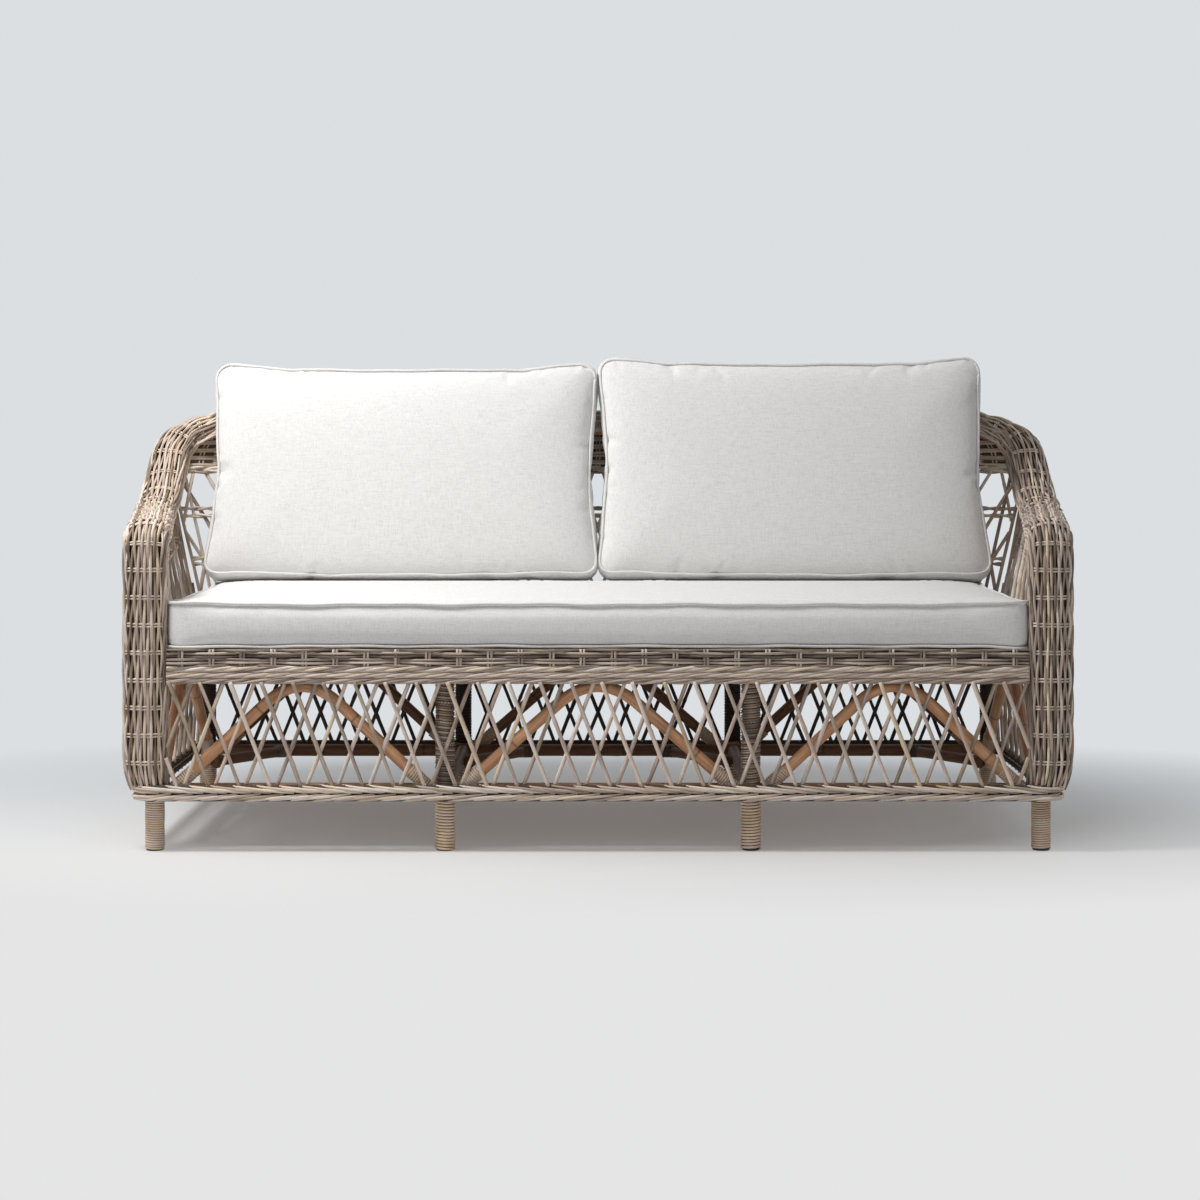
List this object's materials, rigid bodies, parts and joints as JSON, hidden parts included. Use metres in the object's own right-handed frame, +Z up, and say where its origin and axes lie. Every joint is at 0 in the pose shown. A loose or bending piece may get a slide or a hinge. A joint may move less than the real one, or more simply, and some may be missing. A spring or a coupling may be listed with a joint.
{
  "type": "rattan garden sofa",
  "caption": "Three-seat rattan garden sofa with a bent pole frame, arched open wicker lattice, a woven arm and back band, and loose piped seat and back cushions.",
  "frame": {"origin": "on the floor, under the middle of the bounding box", "axes": "+X along the sofa to the right arm seen from the front, +Y from the front to the back, +Z up"},
  "size_m": [2.0114, 0.8364, 0.9834],
  "materials": {
    "rattan": "satin caramel rattan pole",
    "wicker": "matte weathered wicker",
    "cane": "matte pale cane",
    "linen": "matte off-white linen weave"
  },
  "bodies": {
    "frame": {"back_bottom_rail": "rattan", "back_lattice": "wicker", "back_lower_lattice": "wicker", "back_seat_rail": "rattan", "base_braid": "wicker", "centre_back_arch": "rattan", "centre_front_arch": "rattan", "front_apron": "wicker", "front_bottom_rail": "rattan", "front_lattice": "wicker", "front_seat_rail": "rattan", "left_arm_band": "wicker", "left_arm_lattice": "wicker", "left_arm_pole": "rattan", "left_back_arch": "rattan", "left_back_corner_foot_winding": "cane", "left_back_corner_leg": "rattan", "left_back_middle_foot_winding": "cane", "left_back_middle_leg": "rattan", "left_bottom_rail": "rattan", "left_bottom_stretcher": "rattan", "left_front_arch": "rattan", "left_front_corner_foot_winding": "cane", "left_front_middle_foot_winding": "cane", "left_front_middle_leg": "rattan", "left_inner_knee_brace": "rattan", "left_lower_lattice": "wicker", "left_outer_knee_brace": "rattan", "left_seat_rail": "rattan", "left_seat_stretcher": "rattan", "left_side_arch": "rattan", "right_arm_band": "wicker", "right_arm_lattice": "wicker", "right_arm_pole": "rattan", "right_back_arch": "rattan", "right_back_corner_foot_winding": "cane", "right_back_corner_leg": "rattan", "right_back_middle_foot_winding": "cane", "right_back_middle_leg": "rattan", "right_bottom_rail": "rattan", "right_bottom_stretcher": "rattan", "right_front_arch": "rattan", "right_front_corner_foot_winding": "cane", "right_front_middle_foot_winding": "cane", "right_front_middle_leg": "rattan", "right_inner_knee_brace": "rattan", "right_lower_lattice": "wicker", "right_outer_knee_brace": "rattan", "right_seat_rail": "rattan", "right_seat_stretcher": "rattan", "right_side_arch": "rattan", "seat_deck": "cane", "side_and_back_apron": "wicker", "top_rail": "rattan", "top_roll": "wicker", "woven_top_panel": "wicker"},
    "seat_cushion": {"seat_cushion": "linen"},
    "left_back_cushion": {"left_back_cushion": "linen"},
    "right_back_cushion": {"right_back_cushion": "linen"}
  },
  "joints": [
    {"name": "lift_seat_cushion", "type": "slide", "parent": "frame", "child": "seat_cushion", "axis": [0, 0, 1], "range_m": [0, 0.45]},
    {"name": "lift_left_back_cushion", "type": "slide", "parent": "seat_cushion", "child": "left_back_cushion", "axis": [0, 0, 1], "range_m": [0, 0.4]},
    {"name": "lift_right_back_cushion", "type": "slide", "parent": "seat_cushion", "child": "right_back_cushion", "axis": [0, 0, 1], "range_m": [0, 0.4]}
  ]
}
